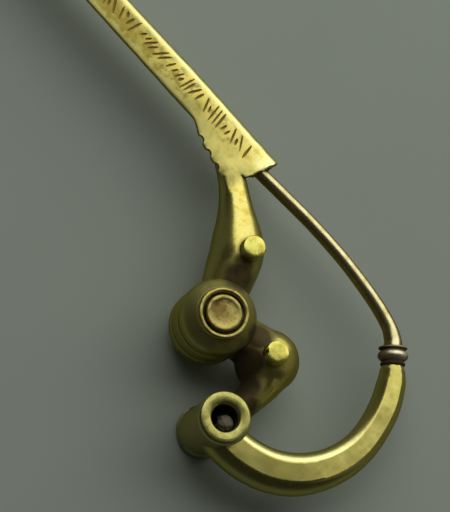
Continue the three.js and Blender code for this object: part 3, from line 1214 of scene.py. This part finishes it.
class FIBULA_OT_arm(bpy.types.Operator):
    """Model the curved arm, planed flat above and below"""

    bl_idname = "fibula.arm"
    bl_label = "Pin arm"

    def execute(self, context):
        arm = draw_bar(ARM_ROUTE, 96, 8, ARM_PLANING)
        arm.name = "arm"
        clean(arm)
        dent(arm, 3.4, 0.035)
        settle(arm, "pin_arm_dressed", 17)
        mark_rubbed_and_lit(arm, 0.55, 0.95)
        mark(arm, "edge", self.inner_edge_highlight)
        coat(arm, arm_gold())
        hand_over(arm, "gold", "pin_arm")
        return {"FINISHED"}

    def inner_edge_highlight(self, vert):
        """The edge of the planed top that faces the middle of the bend gets a pale painted
        highlight line.
        """
        spot = (vert.co - START).xy / MM
        inward = (Vector(ARM_MIDDLE) - spot).normalized().dot(vert.normal.xy)
        from_start = (spot - Vector(ARM_ROUTE[0][:2])).length
        return (smoothstep(from_start, 6, 16) * smoothstep(inward, 0.12, 0.3)
                * smoothstep(vert.normal.z, 0.6, 0.8))


class FIBULA_OT_collar(bpy.types.Operator):
    """Model the turned collar between the arm and the needle"""

    bl_idname = "fibula.collar"
    bl_label = "Collar"

    def execute(self, context):
        needle_end = Vector(NEEDLE_ROUTE[0][:2])
        axis = Vector(ARM_ROUTE[0][:2]) - needle_end
        heading = math.atan2(axis.y, axis.x)
        small_ring = [(1.2, -0.1), (1.45, -0.02), (1.76, 0.04), (1.86, 0.14), (1.84, 0.28),
                      (1.58, 0.38), (1.46, 0.48)]
        bead = [(1.62, 0.6), (1.82, 0.78), (1.94, 1.02), (1.96, 1.24), (1.88, 1.46),
                (1.7, 1.66), (1.5, 1.82)]
        last_ring = [(1.4, 1.94), (1.5, 2.04), (1.62, 2.16), (1.62, 2.3), (1.5, 2.42)]
        stub = [(1.46, axis.length + 0.15)]
        collar = turn_piece(
            small_ring + bead + last_ring + stub, at(*needle_end), 56, heading)
        collar.name = "collar_turned"
        clean(collar)
        apply_modifier(collar, "SUBSURF", levels=1, render_levels=1)
        dent(collar, 0.9, 0.05)
        settle(collar, "collar_dressed", 50)
        mark_rubbed_and_lit(collar, 0.3, 0.9)

        # Soil mark, partly painted shade: darker behind the small ring and on the ring next to the
        # arm.
        def soil_and_shade_along(vert):
            along = (vert.co - at(*needle_end)).dot(level(heading)) / MM
            return max(smoothstep(along, 1.6, 1.95), 0.75 - 1.5 * abs(along - 0.36))
        mark(collar, "soiled_and_shaded", soil_and_shade_along)
        coat(collar, collar_gold())
        hand_over(collar, "brown_gold", "collar")
        return {"FINISHED"}


class FIBULA_OT_needle(bpy.types.Operator):
    """Model the needle"""

    bl_idname = "fibula.needle"
    bl_label = "Needle"

    def execute(self, context):
        needle = draw_bar(NEEDLE_ROUTE, 28, 6)
        needle.name = "needle_round"
        clean(needle)
        dent(needle, 2.0, 0.05)
        settle(needle, "needle_dressed", 60)
        # Only the very top is rubbed bright; the rest of the lit band turns dull brown, painted
        # shade that narrows the highlight.
        mark_rubbed_and_lit(needle, 0.7, 0.97)
        coat(needle, browned_gold())
        hand_over(needle, "brown_gold", "needle")
        return {"FINISHED"}


# ---------------------------------------------------------------- stage

# The camera's place is in millimetres from the start of the bow's measures, its turn in degrees.
CAMERA_PLACE = Vector((7.568, 82.957, 232.690))
CAMERA_TURN = (14.252, -15.802, -134.684)
CAMERA_LENS = 140.6
SENSOR_WIDTH = 36.0

PANEL_DISTANCE = 0.6
FLOOR_SIZE = 1.6
ROOM_COLOUR = (0.92, 1.0, 0.95, 1)
ROOM_STRENGTH = 0.026


class FIBULA_OT_stage(bpy.types.Operator):
    """Lay out the floor, the soft lights and the camera"""

    bl_idname = "fibula.stage"
    bl_label = "Stage"

    def execute(self, context):
        self.floor()
        self.camera(context)
        self.lights()
        self.surroundings(context)
        return {"FINISHED"}

    def floor(self):
        deselect()
        bpy.ops.mesh.primitive_plane_add(size=FLOOR_SIZE, location=(0, 0, 0))
        floor = bpy.context.object
        edit(floor)
        bpy.ops.mesh.subdivide(number_cuts=3)
        leave_edit_mode()
        floor.name = "studio_floor"
        pale = tuple(finishes().floor)
        darker = tuple(channel * 0.95 for channel in pale)
        material, shader = new_material("pale_floor", pale)
        tree = material.node_tree
        colour = mix_colour(tree, noise(tree, object_place(tree), 60, 4), darker, pale)
        tree.links.new(colour, shader.inputs["Base Color"])
        shader.inputs["Roughness"].default_value = 0.85
        coat(floor, material)

    def camera(self, context):
        deselect()
        bpy.ops.object.camera_add(
            location=START + CAMERA_PLACE * MM,
            rotation=[math.radians(angle) for angle in CAMERA_TURN])
        camera = context.object
        camera.name = "camera"
        camera.data.lens = CAMERA_LENS
        camera.data.sensor_width = SENSOR_WIDTH
        camera.data.clip_start = 0.01
        camera.data.clip_end = 10
        context.scene.camera = camera

    def lights(self):
        """A large soft panel leans over the brooch from beyond its catch; a dim one helps it."""
        self.panel("window", bearing=-48.8, lean=50, shift=0.27, size=(1.2, 0.97), power=4.5,
                   colour=(1.0, 0.99, 0.94))
        self.panel("side_fill", bearing=-135, lean=62, shift=0.0, size=(0.9, 0.6), power=0.2,
                   colour=(1.0, 0.97, 0.88))

    def panel(self, name, bearing, lean, shift, size, power, colour):
        """Sets a panel at a bearing, leaning over from upright by an angle, both in degrees."""
        bearing, lean = math.radians(bearing), math.radians(lean)
        across = Vector((math.sin(bearing), -math.cos(bearing), 0))
        facing = level(bearing) * math.sin(lean) + Vector((0, 0, math.cos(lean)))
        turn = Matrix((across, facing.cross(across), facing)).transposed().to_euler()
        deselect()
        bpy.ops.object.light_add(
            type="AREA", location=START + facing * PANEL_DISTANCE + across * shift, rotation=turn)
        light = bpy.context.object
        light.name = name
        light.data.shape = "RECTANGLE"
        light.data.size, light.data.size_y = size
        light.data.energy = power
        light.data.color = colour

    def surroundings(self, context):
        world = bpy.data.worlds.new("dim_room")
        world.use_nodes = True
        background = world.node_tree.nodes["Background"]
        background.inputs["Color"].default_value = ROOM_COLOUR
        background.inputs["Strength"].default_value = ROOM_STRENGTH
        context.scene.world = world
        context.scene.view_settings.view_transform = "Standard"


# ---------------------------------------------------------------- panel and registration

OPERATORS = (
    FIBULA_OT_bow, FIBULA_OT_cross_pins, FIBULA_OT_spool, FIBULA_OT_tube, FIBULA_OT_arm,
    FIBULA_OT_collar, FIBULA_OT_needle, FIBULA_OT_stage,
)


class FIBULA_PT_sidebar(bpy.types.Panel):
    """Lists the pieces in the order in which they are made"""

    bl_idname = "FIBULA_PT_sidebar"
    bl_label = "Serpentine Fibula"
    bl_space_type = "VIEW_3D"
    bl_region_type = "UI"
    bl_category = "Fibula"

    def draw(self, context):
        layout = self.layout
        for group in (context.scene.fibula_sizes, context.scene.fibula_finishes):
            box = layout.box()
            for name in group.bl_rna.properties.keys():
                if name not in {"rna_type", "name"}:
                    box.prop(group, name)
        for operator in OPERATORS:
            layout.operator(operator.bl_idname)


CLASSES = (FibulaSizes, FibulaFinishes, *OPERATORS, FIBULA_PT_sidebar)


def register():
    for item in CLASSES:
        bpy.utils.register_class(item)
    bpy.types.Scene.fibula_sizes = PointerProperty(type=FibulaSizes)
    bpy.types.Scene.fibula_finishes = PointerProperty(type=FibulaFinishes)


def unregister():
    del bpy.types.Scene.fibula_finishes
    del bpy.types.Scene.fibula_sizes
    for item in reversed(CLASSES):
        bpy.utils.unregister_class(item)


def main():
    register()
    bpy.ops.fibula.bow()
    bpy.ops.fibula.cross_pins()
    bpy.ops.fibula.spool()
    bpy.ops.fibula.tube()
    bpy.ops.fibula.arm()
    bpy.ops.fibula.collar()
    bpy.ops.fibula.needle()
    bpy.ops.fibula.stage()


if __name__ == "__main__":
    main()
